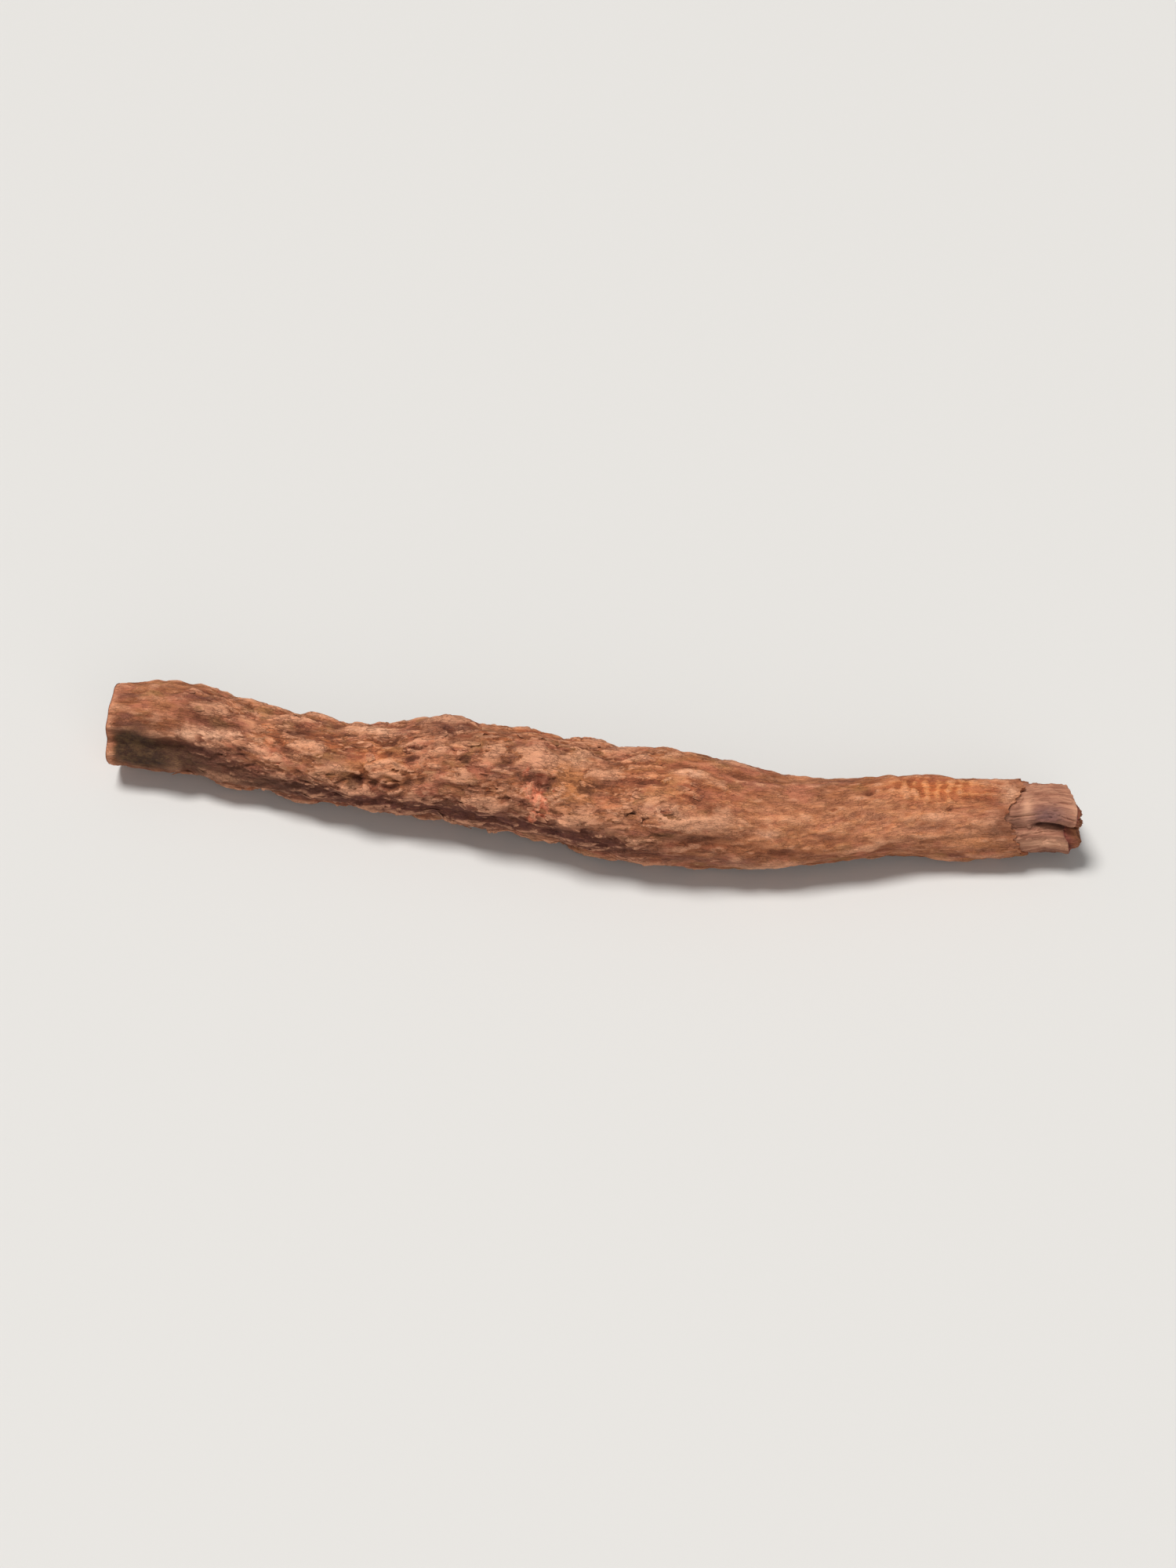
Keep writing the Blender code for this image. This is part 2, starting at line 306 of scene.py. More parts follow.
def pitted(x, angle, radius):
    """Small scattered pits, and the few that stand out."""
    distances, _ = noise.voronoi(on_skin(x, angle, radius, PIT_SPACING, PIT_SPACING, 11))
    depth = PIT_DEPTH * (1.0 - ease(distances[0], 0.4 * PIT_RADIUS, PIT_RADIUS))
    for place, other, deep, width in PITS:
        depth += deep * bell(math.hypot(x - place, arc_between(angle, other, radius)) / width)
    return -depth


def striped(x, angle, radius):
    """Fine ripples across the grain, on the orange patch."""
    place, other, half_length, half_width, step, height = RIPPLES
    away = math.hypot((x - place) / half_length, arc_between(angle, other, radius) / half_width)
    bend = 0.5 * noise.noise(on_skin(x, angle, radius, 3.0, 1.5, 20))
    return height * bell(away) * math.sin(TURN * (x / step + bend))


def scraped(x, angle, radius):
    """1 where a knock has scraped the cork off down to the fresh inner bark."""
    place, other, half_length, half_width, _ = SCRAPE
    away = math.hypot((x - place) / half_length, arc_between(angle, other, radius) / half_width)
    away += SCRAPE_RAGGED * noise.fractal(on_skin(x, angle, radius, 0.9, 0.9, 12), 0.7, 2.0, 3)
    return 1.0 - ease(away, 0.75, 1.0)


def curled(x, angle, radius):
    """The folds of the curls of bark round old rootlets' places."""
    rise = 0.0
    for place, other, size, height, folds in CURLS:
        along, around = x - place, arc_between(angle, other, radius)
        away = math.hypot(along / 1.25, around)
        wave = math.cos(TURN * away / folds + 0.8 * math.atan2(around, along))
        rise += height * wave * bell(away / size) * ease(away, 0.15, 0.6)
    return rise


def bark_rise(x, angle, radius):
    """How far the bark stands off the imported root's form, its plate's shade, and how scraped it is."""
    scaly = scaliness(x)
    plate_rise, shade = cork(x, angle, radius)
    scrape = scraped(x, angle, radius)
    striae_share = STRIAE_ON_SMOOTH + (STRIAE_ON_SCALY - STRIAE_ON_SMOOTH) * scaly
    rise = scaly * plate_rise + striae_share * striae(x, angle, radius)
    rise += (1.0 - scaly) * blisters(x, angle, radius) + striped(x, angle, radius)
    rise += cracks(x, angle, radius) + grit(x, angle, radius) + pitted(x, angle, radius)
    rise += LUMP_HEIGHT * noise.noise(on_skin(x, angle, radius, 1.4 * LUMP_SIZE, LUMP_SIZE, 13))
    rise += curled(x, angle, radius)
    place = on_skin(x, angle, radius, SCRAPE_LENGTH, SCRAPE_WIDTH, 14)
    distances, points = noise.voronoi(place + 0.3 * noise.noise_vector(3.0 * place))
    crumb = 0.6 * noise.cell(5.3 * points[0]) * ease(distances[1] - distances[0], 0.0, 0.3)
    crumbs = SCRAPE_CRUMB * (crumb - 0.1)
    rise = (1.0 - scrape) * rise + scrape * (crumbs - SCRAPE[4])
    return rise, shade, scrape


def rod(name, sides, cuts, face_rings):
    """A closed rod of unit radius from X = 0 to 1, cut into rings, with rings on its ends too."""
    bpy.ops.object.select_all(action="DESELECT")
    middle, laid_down = (0.5, 0, 0), (0, TURN / 4, 0)
    bpy.ops.mesh.primitive_cylinder_add(
        vertices=sides, radius=1, depth=1, end_fill_type="NGON", location=middle, rotation=laid_down
    )
    made = bpy.context.object
    made.name = name
    made.data.name = name
    bpy.ops.object.transform_apply(location=True, rotation=True, scale=True)
    bpy.ops.object.mode_set(mode="EDIT")
    bpy.ops.mesh.select_mode(type="FACE")
    bpy.ops.mesh.select_all(action="DESELECT")
    shape = bmesh.from_edit_mesh(made.data)
    for face in shape.faces:
        face.select_set(len(face.verts) == sides)
    bmesh.update_edit_mesh(made.data)
    previous = 1.0
    for share in face_rings:
        bpy.ops.mesh.inset(thickness=previous - share, use_even_offset=False)
        previous = share
    bpy.ops.mesh.poke()
    bpy.ops.mesh.select_mode(type="EDGE")
    for cut in cuts:
        bpy.ops.mesh.select_all(action="DESELECT")
        shape = bmesh.from_edit_mesh(made.data)
        for edge in shape.edges:
            start, end = edge.verts
            edge.select_set(abs(start.co.x - end.co.x) > 0.001)
        bmesh.update_edit_mesh(made.data)
        bpy.ops.mesh.subdivide(number_cuts=cut)
    bpy.ops.object.mode_set(mode="OBJECT")
    return made


def rod_places(piece):
    """Each point's place on an unshaped rod: share of its length, angle, and share of its radius."""
    points = np.zeros(len(piece.data.vertices) * 3)
    piece.data.vertices.foreach_get("co", points)
    points = points.reshape(-1, 3)
    share = np.minimum(1.0, np.hypot(points[:, 1], points[:, 2]))
    share[share > 0.999] = 1.0
    return points[:, 0], np.arctan2(points[:, 2], points[:, 1]) % TURN, share


def lay_down(piece, x, angle, radius):
    """Moves a rod's points to their places on the root, never below what the root lies on."""
    back, height = line_at(x)
    points = np.stack((x, back + radius * np.cos(angle), height + radius * np.sin(angle)), axis=1)
    points[:, 2] = np.maximum(points[:, 2], 0.0)
    points = np.clip(points * MM, np.array(cad_low), np.array(cad_high))
    piece.data.vertices.foreach_set("co", points.ravel())
    piece.data.update()


def store(piece, name, values):
    """Keeps one number for each point of a piece, for its finish to read."""
    piece.data.attributes.new(name, "FLOAT", "POINT").data.foreach_set("value", values)


def store_grain(piece, x, angle, radius):
    """Keeps where each point would be on the straightened root, in millimetres, for the grain to follow."""
    turned = angle + np.radians(GRAIN_TWIST) * x
    places = np.stack((x, radius * np.cos(turned), radius * np.sin(turned)), axis=1)
    piece.data.attributes.new("grain", "FLOAT_VECTOR", "POINT").data.foreach_set("vector", places.ravel())


def smooth_piece(piece, angle):
    """Shades a piece smooth but for the edges sharper than an angle in degrees."""
    bpy.ops.object.select_all(action="DESELECT")
    piece.select_set(True)
    bpy.context.view_layer.objects.active = piece
    bpy.ops.object.shade_smooth_by_angle(angle=math.radians(angle))


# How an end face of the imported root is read: steps outwards and round, how far out, and from how deep
FACE_SHARES, FACE_ANGLES, FACE_REACH, FACE_DEPTH = 24, 96, 0.90, 1.0
FACE_BLUR_OUT, FACE_BLUR_ROUND = 1.2, 2.0


def face_places(side):
    """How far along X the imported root's cut or broken face is, as a grid of share of the radius by angle."""
    last = 0 if side < 0 else -1
    back, height = line_at(FORM_PLACES[last])
    inside = FORM_PLACES[last] - side * FACE_DEPTH
    grid = np.zeros((FACE_SHARES, FACE_ANGLES))
    for row in range(FACE_SHARES):
        for column in range(FACE_ANGLES):
            angle = TURN * column / FACE_ANGLES
            reach = FACE_REACH * row / (FACE_SHARES - 1) * np.interp(angle, FORM_ANGLES, smooth_form[last])
            start = Vector((inside, back + reach * math.cos(angle), height + reach * math.sin(angle)))
            grid[row, column] = inside + side * reach_of(start, Vector((side, 0, 0)))
    return blurred(grid, FACE_BLUR_OUT, FACE_BLUR_ROUND)


left_face = face_places(-1)
right_face = face_places(1)


def face_at(grid, share, angle):
    """How far along X a face is, at a share of the radius and an angle."""
    return read_grid(grid, np.minimum(share / FACE_REACH, 1.0) * (FACE_SHARES - 1), angle)


bark = rod("bark", BARK_SIDES, BARK_CUTS, BARK_FACE_RINGS)
run, angle, share = rod_places(bark)
on_side = share == 1.0
left_cap, right_cap = (~on_side) & (run < 0.5), (~on_side) & (run > 0.5)
rim = np.array([torn_edge(a, MEAN_RADIUS) for a in FORM_ANGLES])
column = np.round(angle / TURN * BARK_SIDES).astype(int) % BARK_SIDES
edge = rim[column]
start = face_at(left_face, np.ones_like(angle), angle)
x = start + run * (edge - start)
cad_edges = np.array([cad_edge(a, MEAN_RADIUS) for a in FORM_ANGLES])[column]
form_radius = form_at(np.minimum(x, cad_edges - BEFORE_EDGE), angle)
made = np.array([bark_rise(*three) for three in zip(x, angle, form_radius)])
rise, shade, scrape = made.T
full = np.clip((x - start) / RELIEF_RISE, 0.0, 1.0)
radius = form_radius + rise * (RELIEF_AT_CUT + (1.0 - RELIEF_AT_CUT) * full)
from_edge = np.clip(1.0 - (edge - x) / EDGE_LIFT_LENGTH, 0.0, 1.0)
patchy = [noise.noise(on_skin(0, a, r, 1.0, 1.6, 15)) for a, r in zip(angle, form_radius)]
lift = np.array([ease(value, -0.1, 0.4) for value in patchy])
radius += EDGE_LIFT * lift * from_edge**2

# The cut bark at the left shows as a ring, and the wood sits inside it
rounding = ROUNDING * (1.0 - np.sqrt(np.clip((x - start) / ROUNDING_LENGTH, 0.0, 1.0)))
radius = np.where(on_side, radius - rounding, radius)
radius = np.where(left_cap, radius * share, radius)
recess = CUT_BARK_RECESS * np.clip((CUT_BARK_INNER - share) / 0.02, 0.0, 1.0)
x = np.where(left_cap, face_at(left_face, share, angle) + recess, x)

# The torn bark at the right turns in under itself, down to the wood
core_radius = form_at(np.maximum(x, cad_edges + PAST_EDGE), angle)
plug_radius = core_radius - PLUG_DEPTH
under = np.clip((1.0 - share) / LIP_WIDTH, 0.0, 1.0)
further = np.clip((LIP_SHARE - share) / SLOPE_WIDTH, 0.0, 1.0)
inner = (radius - BARK_THICKNESS) * (1.0 - further) + plug_radius * further
torn = radius + (inner - radius) * np.where(share > LIP_SHARE, under, 1.0)
torn = np.where(share < PLUG_SHARE, share / PLUG_SHARE * plug_radius, torn)
radius = np.where(right_cap, torn, radius)
x = np.where(right_cap, edge - UNDER_THE_EDGE * np.clip((BACK_FROM - share) / BACK_WIDTH, 0.0, 1.0), x)

lay_down(bark, x, angle, radius)
store_grain(bark, x, angle, radius)

# How high each point stands over what is round it, for the painted shade in the hollows and the painted
# highlight on the ridges
ring = np.round(run * (BARK_CUTS[0] + 1) * (BARK_CUTS[1] + 1)).astype(int)
skin = np.zeros((ring.max() + 1, BARK_SIDES))
skin[ring[on_side], column[on_side]] = radius[on_side]
FINE_BLUR, BROAD_BLUR = (1.8, 2.8), (6.0, 9.0)
fine_rise = skin - blurred(skin, *FINE_BLUR)
broad_rise = skin - blurred(skin, *BROAD_BLUR)
store(bark, "fine_rise", fine_rise[ring, column])
store(bark, "broad_rise", broad_rise[ring, column])
store(bark, "plate_shade", shade)
store(bark, "scraped", np.where(on_side, scrape, 0.0))
store(bark, "scaly", np.array([scaliness(place) for place in x]))
store(bark, "cut_bark", np.where(on_side, 0.0, 1.0))
store(bark, "torn", np.where(right_cap, 1.0, 0.0))


def stain_and_painted_light(marks, x, angle):
    """How strong a mark is at each point: stains, painted highlights and painted shade alike. A mark is a
    place, an angle, two half-sizes and a strength.
    """
    total = np.zeros_like(x)
    for place, other, half_length, half_width, strength in marks:
        around = arc_between(angle, other, MEAN_RADIUS)
        total += strength * np.exp(-(((x - place) / half_length) ** 2) - (around / half_width) ** 2)
    return np.minimum(total, 1.0)


# Purple-brown marks: the root's own stains, as on the knot, and painted shade along the lower flank and
# underneath
PURPLE_AND_SHADE_MARKS = (
    (-13.2, 66.0, 2.6, 1.8, 0.9),
    (-35.5, 112.0, 2.6, 2.6, 0.45),
    (-36.5, 168.0, 4.5, 2.2, 0.95),
    (-26.0, 186.0, 7.0, 2.0, 0.8),
    (-10.0, 182.0, 9.0, 1.9, 0.65),
    (-14.0, 202.0, 24.0, 2.0, 0.6),
    (2.0, 186.0, 6.0, 1.7, 0.6),
    (-27.0, 95.0, 2.0, 1.0, 0.4),
    (-24.0, 330.0, 5.0, 3.0, 0.6),
    (20.0, 300.0, 7.0, 3.0, 0.5),
    (37.5, 158.0, 1.6, 1.8, 0.4),
)
ORANGE_MARKS = (
    (31.4, 92.0, 4.8, 2.1, 0.9),
    (8.0, 110.0, 6.0, 2.6, 0.35),
    (-19.5, 125.0, 2.6, 1.6, 0.5),
    (22.0, 147.0, 8.0, 2.4, 0.5),
    (33.0, 150.0, 5.0, 1.6, 0.4),
    (-6.0, 20.0, 5.0, 2.5, 0.5),
    (24.0, 15.0, 5.0, 2.0, 0.5),
)
# Pale marks: painted highlights on the lip at the left end, on the knuckle's crests and over the middle of the
# smooth half, with a few pale pinkish streaks of the bark itself
PALE_AND_HIGHLIGHT_MARKS = (
    (-37.0, 139.0, 1.4, 0.34, 1.0),
    (-35.0, 132.0, 1.4, 0.34, 1.0),
    (-33.2, 125.0, 1.4, 0.32, 0.9),
    (9.6, 95.0, 1.4, 0.4, 0.9),
    (7.2, 137.0, 1.8, 0.7, 0.45),
    (11.5, 149.0, 3.4, 0.9, 0.35),
    (17.2, 152.0, 1.0, 0.4, 0.6),
    (-1.0, 98.0, 2.0, 0.6, 0.5),
    (-20.0, 75.0, 2.4, 0.5, 0.7),
    (38.3, 98.0, 0.8, 1.5, 0.6),
    (17.5, 211.0, 3.6, 0.6, 0.8),
    (24.0, 140.0, 9.0, 2.4, 0.22),
    (33.5, 153.0, 5.0, 1.8, 0.25),
)
# Reddish-brown marks: rust-coloured stains of the bark, and painted shade in a hollow under the knuckle's
# crest and in a pit
RUST_AND_SHADE_MARKS = (
    (11.7, 129.0, 1.2, 0.5, 0.85),
    (4.6, 116.0, 1.6, 0.7, 0.5),
    (25.7, 97.0, 0.8, 0.5, 0.85),
    (37.5, 135.0, 1.3, 1.4, 0.85),
    (11.0, 172.0, 3.0, 0.4, 0.7),
    (17.5, 181.0, 2.6, 0.35, 0.6),
    (-20.0, 143.0, 1.8, 0.9, 0.5),
)
# Painted shade: dark olive-brown in the hollow at the left end and below it, along the lower flank, in a pit
# and in the middle of a curl
PAINTED_SHADE_MARKS = (
    (-42.6, 162.0, 2.3, 1.9, 0.95),
    (-41.5, 187.0, 3.6, 2.2, 0.9),
    (-37.0, 176.0, 3.4, 1.3, 0.5),
    (-30.0, 188.0, 6.0, 1.5, 0.5),
    (-3.3, 135.0, 0.5, 0.4, 0.6),
    (-21.2, 162.0, 0.5, 0.5, 0.6),
)
MOSSY_MARKS = (
    (-0.8, 130.0, 2.4, 1.4, 0.6),
    (-1.2, 112.0, 1.6, 1.2, 0.5),
    (36.0, 177.0, 2.4, 1.0, 0.6),
)
store(bark, "purple", stain_and_painted_light(PURPLE_AND_SHADE_MARKS, x, angle))
store(bark, "orange", stain_and_painted_light(ORANGE_MARKS, x, angle))
rim_places = [on_skin(0, a, MEAN_RADIUS, 1, 0.8, 25) for a in FORM_ANGLES]
rim_wander = np.array([noise.fractal(place, 0.7, 2.0, 3) for place in rim_places])
from_rim = x - start + RIM_WANDER * rim_wander[column]
past_rim = np.clip((from_rim - PAINTED_SHADE_FROM) / PAINTED_SHADE_RISE, 0.0, 1.0)
# The painted shade keeps off the pale cut rim
store(bark, "painted_shade", stain_and_painted_light(PAINTED_SHADE_MARKS, x, angle) * past_rim)
store(bark, "pale", stain_and_painted_light(PALE_AND_HIGHLIGHT_MARKS, x, angle))
store(bark, "rust", stain_and_painted_light(RUST_AND_SHADE_MARKS, x, angle))
store(bark, "mossy", stain_and_painted_light(MOSSY_MARKS, x, angle))
on_rim = np.clip(1.0 - (from_rim - RIM_FROM) / RIM_FADE, 0.0, 1.0)
store(bark, "rim", np.where(on_side, on_rim, 0.0))
smooth_piece(bark, 70)


def add(tree, kind, sockets=None, **settings):
    """Adds a node, sets its settings, and gives each named socket a value or a link. Returns its outputs."""
    made = tree.nodes.new(kind)
    for name, value in settings.items():
        setattr(made, name, value)
    for name, value in (sockets or {}).items():
        if isinstance(value, bpy.types.NodeSocket):
            tree.links.new(value, made.inputs[name])
        else:
            made.inputs[name].default_value = value
    return made.outputs


def read(tree, name, output="Fac"):
    """What a piece keeps for each point under a name."""
    return add(tree, "ShaderNodeAttribute", attribute_name=name)[output]


def ramp(tree, value, start, end, low=0.0, high=1.0):
    """A value turned smoothly from low to high between start and end."""
    sockets = {"Value": value, "From Min": start, "From Max": end, "To Min": low, "To Max": high}
    return add(tree, "ShaderNodeMapRange", sockets, interpolation_type="SMOOTHSTEP")["Result"]


def maths(tree, operation, first, second=0.0):
    """Two values put together."""
    return add(tree, "ShaderNodeMath", {0: first, 1: second}, operation=operation)[0]


def blend_colours(tree, share, first, second, how="MIX"):
    """Two colours laid over each other, each a linear colour or a socket."""
    sockets = {0: share, 6: first, 7: second}
    return add(tree, "ShaderNodeMix", sockets, data_type="RGBA", blend_type=how)[2]


def stretched(tree, grain, length, width, offset=0.0):
    """The grain's places drawn out, so that a pattern is that long and that wide, in millimetres."""
    scale = (1 / length, 1 / width, 1 / width)
    sockets = {"Vector": grain, "Location": (offset, offset, offset), "Scale": scale}
    return add(tree, "ShaderNodeMapping", sockets)["Vector"]


def cloudy(tree, place, detail=4.0, roughness=0.55):
    """A cloudy pattern from 0 to 1."""
    sockets = {"Vector": place, "Scale": 1.0, "Detail": detail, "Roughness": roughness}
    return add(tree, "ShaderNodeTexNoise", sockets)[0]


CRACK_WANDER, CRACK_WANDER_SCALE = 0.9, 1.7


def cracked(tree, grain, length, width, thickness, offset):
    """1 in a net of fine cracks that break off here and there, and 0 on the scales between them."""
    place = stretched(tree, grain, length, width, offset)
    sockets = {"Vector": place, "Scale": CRACK_WANDER_SCALE, "Detail": 3.0}
    wander = add(tree, "ShaderNodeTexNoise", sockets)["Color"]
    sockets = {0: wander, "Scale": CRACK_WANDER}
    moved = add(tree, "ShaderNodeVectorMath", sockets, operation="SCALE")["Vector"]
    place = add(tree, "ShaderNodeVectorMath", {0: place, 1: moved}, operation="ADD")["Vector"]
    sockets = {"Vector": place, "Scale": 1.0}
    edge = add(tree, "ShaderNodeTexVoronoi", sockets, feature="DISTANCE_TO_EDGE")["Distance"]
    broken = cloudy(tree, stretched(tree, grain, 1.6, 0.8, offset + 5.0), 3.0)
    near_edge = ramp(tree, edge, 0.0, thickness, 1.0, 0.0)
    return maths(tree, "MULTIPLY", near_edge, ramp(tree, broken, 0.43, 0.58))


def colour(red, green, blue):
    """A linear colour from the eight-bit one that a screen shows."""
    return tuple(((c / 255 + 0.055) / 1.055) ** 2.4 for c in (red, green, blue)) + (1.0,)


# A last tint over the whole bark, as a linear colour
WARMTH = (0.96, 0.88, 0.77, 1.0)


def bark_finish():
    """Dry matt cork, with fibres, grit and old stains: painted highlight on its ridges, and painted shade near
    black in its hollows and cracks.
    """
    material = bpy.data.materials.new("dry_bark")
    material.use_nodes = True
    tree = material.node_tree
    shader = tree.nodes["Principled BSDF"]
    shader.inputs["Roughness"].default_value = 0.86
    shader.inputs["Specular IOR Level"].default_value = 0.28
    grain = read(tree, "grain", "Vector")
    fine, broad = read(tree, "fine_rise"), read(tree, "broad_rise")
    shade = read(tree, "plate_shade")

    hue = cloudy(tree, stretched(tree, grain, 11.0, 3.0), 3.0)
    streak = cloudy(tree, stretched(tree, grain, 5.0, 0.45, 3.0), 4.0, 0.6)
    fibre = cloudy(tree, stretched(tree, grain, 1.6, 0.075, 7.0), 3.0, 0.6)
    mottle = cloudy(tree, stretched(tree, grain, 0.8, 0.55, 9.0), 5.0, 0.65)
    speck = cloudy(tree, stretched(tree, grain, 0.11, 0.07, 5.0), 2.0, 0.7)
    long_crack = cracked(tree, grain, 1.5, 0.42, 0.11, 31.0)
    short_crack = cracked(tree, grain, 0.7, 0.22, 0.12, 37.0)
    crack = maths(tree, "MAXIMUM", long_crack, short_crack)

    tan = blend_colours(tree, ramp(tree, hue, 0.35, 0.65), colour(158, 101, 70), colour(178, 120, 86))
    rust = blend_colours(tree, ramp(tree, mottle, 0.3, 0.7), colour(120, 70, 48), colour(148, 91, 62))
    body = blend_colours(tree, ramp(tree, streak, 0.36, 0.62), rust, tan)
    scaly = ramp(tree, read(tree, "scaly"), 0.15, 1.0, 0.30, 1.0)
    other_shade = maths(tree, "FRACT", maths(tree, "MULTIPLY", shade, 13.0))
    flakes = (
        (ramp(tree, shade, 0.40, 0.05, 0.0, 0.75), colour(116, 68, 54)),
        (ramp(tree, shade, 0.60, 1.0, 0.0, 0.75), colour(216, 158, 130)),
        (ramp(tree, other_shade, 0.70, 1.0, 0.0, 0.55), colour(190, 108, 66)),
        (ramp(tree, other_shade, 0.30, 0.0, 0.0, 0.50), colour(146, 108, 72)),
    )
    for strength, tint in flakes:
        body = blend_colours(tree, maths(tree, "MULTIPLY", strength, scaly), body, tint)
    blotch = cloudy(tree, stretched(tree, grain, 2.2, 0.7, 29.0), 2.0, 0.5)
    calm = ramp(tree, read(tree, "scaly"), 0.15, 1.0, 0.6, 1.0)
    low_blotch = maths(tree, "MULTIPLY", ramp(tree, blotch, 0.48, 0.34, 0.0, 0.60), calm)
    body = blend_colours(tree, low_blotch, body, colour(120, 66, 46))
    high_blotch = maths(tree, "MULTIPLY", ramp(tree, blotch, 0.53, 0.67, 0.0, 0.60), calm)
    body = blend_colours(tree, high_blotch, body, colour(220, 158, 126))
    pinkish = ramp(tree, cloudy(tree, stretched(tree, grain, 3.0, 1.6, 13.0), 3.0), 0.50, 0.66, 0.0, 0.6)
    body = blend_colours(tree, pinkish, body, colour(180, 112, 92))
    mossy = ramp(tree, cloudy(tree, stretched(tree, grain, 4.0, 2.0, 17.0), 3.0), 0.55, 0.70, 0.0, 0.55)
    body = blend_colours(tree, mossy, body, colour(146, 110, 70))
    mauve = ramp(tree, cloudy(tree, stretched(tree, grain, 5.0, 1.8, 23.0), 3.0), 0.54, 0.70, 0.0, 0.6)
    body = blend_colours(tree, mauve, body, colour(118, 74, 66))

    # The orange patch's ripples: deeper orange in their troughs, painted highlight on their crests
    stripe_and_crest_highlight = blend_colours(tree, ramp(tree, fine, -0.03, 0.04), colour(182, 100, 58), colour(228, 150, 98))
    body = blend_colours(tree, read(tree, "orange"), body, stripe_and_crest_highlight)
    body = blend_colours(tree, read(tree, "mossy"), body, colour(194, 130, 86))
    # Reddish-brown stains, partly painted shade in a hollow and a pit
    body = blend_colours(tree, read(tree, "rust"), body, colour(124, 64, 40))
    # Purple-brown stains, with painted shade along the lower flank
    purple = maths(tree, "MULTIPLY", read(tree, "purple"), ramp(tree, mottle, 0.25, 0.6, 0.6, 1.0))
    body = blend_colours(tree, purple, body, colour(96, 56, 50))

    rim_share = maths(tree, "MULTIPLY", read(tree, "rim"), ramp(tree, mottle, 0.35, 0.60, 0.2, 0.7))
    body = blend_colours(tree, rim_share, body, colour(206, 144, 118))
    fresh = read(tree, "scraped")
    bright = blend_colours(tree, ramp(tree, mottle, 0.35, 0.6), colour(190, 98, 70), colour(234, 152, 124))
    body = blend_colours(tree, fresh, body, bright)
    # Painted highlight: pale tan on the ridges of the relief
    fine_painted_highlight = ramp(tree, fine, 0.02, 0.12, 0.0, 0.6)
    broad_painted_highlight = ramp(tree, broad, 0.05, 0.30, 0.0, 0.68)
    ridge_painted_highlight = maths(tree, "MAXIMUM", fine_painted_highlight, broad_painted_highlight)
    body = blend_colours(tree, ridge_painted_highlight, body, colour(220, 164, 136))
    # Painted shade: near black-brown in the hollows of the relief
    fine_painted_shade = ramp(tree, fine, -0.03, -0.20, 0.0, 0.55)
    broad_painted_shade = ramp(tree, broad, -0.06, -0.38, 0.0, 0.75)
    hollow_painted_shade = maths(tree, "MULTIPLY", maths(tree, "MAXIMUM", fine_painted_shade, broad_painted_shade), calm)
    body = blend_colours(tree, hollow_painted_shade, body, colour(72, 36, 25))
    # Painted shade: dark olive-brown where the painted-shade marks lie
    painted_shade_olive = blend_colours(tree, ramp(tree, mottle, 0.35, 0.65), colour(60, 40, 32), colour(88, 66, 46))
    body = blend_colours(tree, read(tree, "painted_shade"), body, painted_shade_olive)
    # Pale marks: mostly painted highlight, with a few pale streaks of the bark
    pale_and_highlight_share = maths(tree, "MULTIPLY", read(tree, "pale"), ramp(tree, mottle, 0.32, 0.58, 0.3, 1.0))
    body = blend_colours(tree, pale_and_highlight_share, body, colour(234, 184, 158))
    torn = blend_colours(tree, read(tree, "torn"), colour(104, 56, 46), colour(166, 106, 78))
    body = blend_colours(tree, read(tree, "cut_bark"), body, torn)
    # Painted shade in the fine cracks of the scaly bark
    crack_painted_shade = maths(tree, "MULTIPLY", crack, ramp(tree, read(tree, "scaly"), 0.1, 1.0, 0.26, 0.5))
    body = blend_colours(tree, crack_painted_shade, body, colour(74, 38, 27))
    darker = ramp(tree, fibre, 0.30, 0.55, 0.78, 1.12)
    lighter = ramp(tree, speck, 0.32, 0.68, 0.84, 1.16)
    tone = maths(tree, "MULTIPLY", darker, lighter)
    toned = add(tree, "ShaderNodeCombineColor", {0: tone, 1: tone, 2: tone})[0]
    body = blend_colours(tree, 1.0, body, toned, "MULTIPLY")
    body = blend_colours(tree, 1.0, body, WARMTH, "MULTIPLY")
    tree.links.new(body, shader.inputs["Base Color"])

    height = maths(tree, "ADD", maths(tree, "MULTIPLY", fibre, 0.03), maths(tree, "MULTIPLY", mottle, 0.08))
    height = maths(tree, "ADD", height, maths(tree, "MULTIPLY", speck, 0.025))
    height = maths(tree, "ADD", height, maths(tree, "MULTIPLY", streak, 0.06))
    height = maths(tree, "SUBTRACT", height, maths(tree, "MULTIPLY", crack, 0.04))
    sockets = {"Height": height, "Strength": 0.9, "Distance": MM}
    tree.links.new(add(tree, "ShaderNodeBump", sockets)["Normal"], shader.inputs["Normal"])
    return material


dry_bark = bark_finish()
bark.data.materials.append(dry_bark)
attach(bark, "root")
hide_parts("manjistha_root")

# The loose scales
# They are thin flakes of the same cork that have come half away from the scaly part of the bark.
# Each is held at one end, sunk a little in the bark, and its free end curls up off it.

SCALES, SCALE_SIDES, SCALE_SEED = 130, 10, 5
SCALES_FROM, SCALES_TO = -38.5, 11.0
SCALE_HALF_LENGTHS, SCALE_HALF_WIDTHS = (0.5, 1.15), (0.26, 0.5)
SCALE_LIFTS, SCALE_SUNK = (0.06, 0.20), 0.07
SCALE_THICKNESS, SCALE_RAGGED = 0.12, 0.4
# How the scales thin towards their edges, and how strong the painted highlight along their free edges is
SCALE_THINNING, SCALE_EDGE_HIGHLIGHT = 0.6, 0.10

# None sits lower than this, where it would touch the table
LOWEST_SCALE = 0.8

# How far scales keep from the pits, the scrape and the curls, which show bare
BARE_AROUND = 1.7
BARE_PLACES = [mark[:2] for mark in (*PITS, SCRAPE, *CURLS)]


